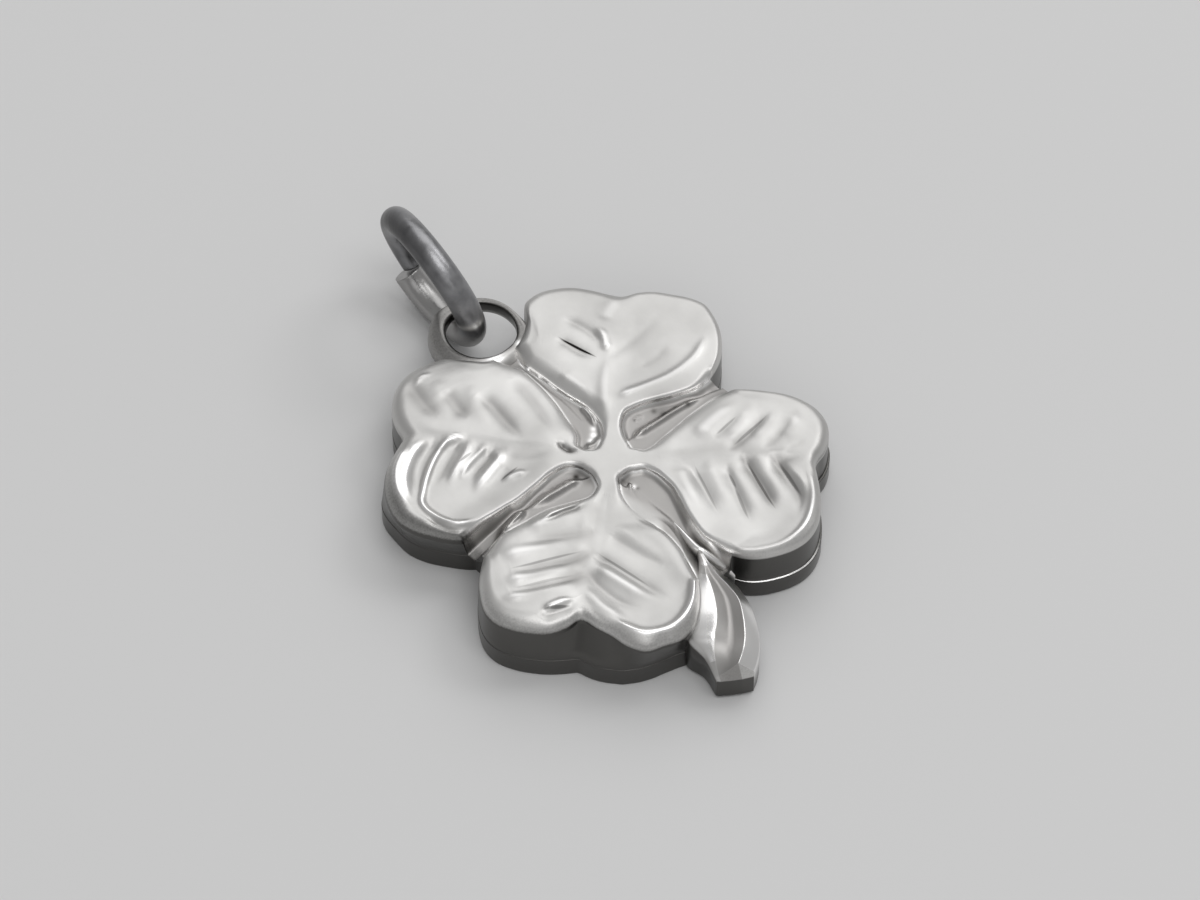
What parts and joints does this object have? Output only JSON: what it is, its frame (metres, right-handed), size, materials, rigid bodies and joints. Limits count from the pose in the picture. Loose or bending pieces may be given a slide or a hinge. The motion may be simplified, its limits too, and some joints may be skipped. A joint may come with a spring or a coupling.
{
  "type": "four leaf clover pendant",
  "caption": "Cast metal clover pendant with heart-shaped veined leaves, teardrop recesses between them, a short cut stem, and an eyelet holding an open round jump ring.",
  "frame": {"origin": "on the flat back, under the middle of the clover where the leaves meet", "axes": "+Z out of the front, away from the flat back; +Y towards the eyelet, up when worn; +X to the right seen from the front"},
  "size_m": [0.015, 0.0225, 0.0059],
  "materials": {
    "cast_silver": "satin cast silver, darker in the recesses",
    "oxidised_silver": "oxidised silver wire, worn bright where it rubs"
  },
  "bodies": {
    "root": {"clover": "cast_silver", "jump_ring": "oxidised_silver"}
  },
  "joints": []
}
